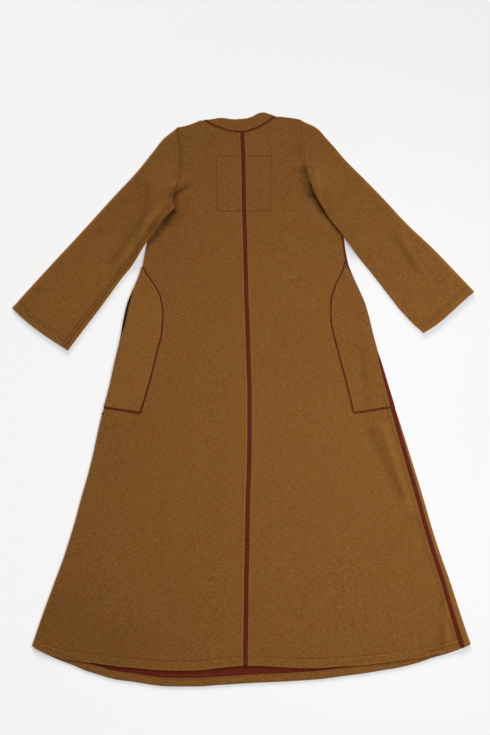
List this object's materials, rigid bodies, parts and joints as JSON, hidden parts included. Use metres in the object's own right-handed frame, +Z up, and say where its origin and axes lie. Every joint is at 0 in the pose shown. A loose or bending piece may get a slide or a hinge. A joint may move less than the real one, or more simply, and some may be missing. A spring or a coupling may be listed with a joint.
{
  "type": "galabeya laid flat",
  "caption": "Long loose wool robe laid flat with its back up: wide sleeves, taped seams down the back and sides, piped neck band and piped side pockets.",
  "frame": {"origin": "middle of the garment's outline, on the surface that it lies on", "axes": "+Y from the hem to the neck, along the length; +X towards the right-hand sleeve as seen from above; +Z up from the surface, through the thickness"},
  "size_m": [1.1702, 1.4599, 0.0199],
  "materials": {
    "wool_cloth": "matte woven wool",
    "rust_tape": "satin woven tape"
  },
  "bodies": {
    "root": {"front": "wool_cloth", "back_left": "wool_cloth", "back_right": "wool_cloth", "sleeve_left": "wool_cloth", "sleeve_right": "wool_cloth", "neck_band": "wool_cloth", "neck_band_front": "wool_cloth", "pocket_left": "wool_cloth", "pocket_right": "wool_cloth", "front_hem_turnup": "wool_cloth", "neck_piping": "rust_tape", "centre_back_tape": "rust_tape", "side_tape_left": "rust_tape", "side_tape_right": "rust_tape", "pocket_piping_left": "rust_tape", "pocket_piping_right": "rust_tape", "front_hem_facing": "rust_tape"}
  },
  "joints": []
}
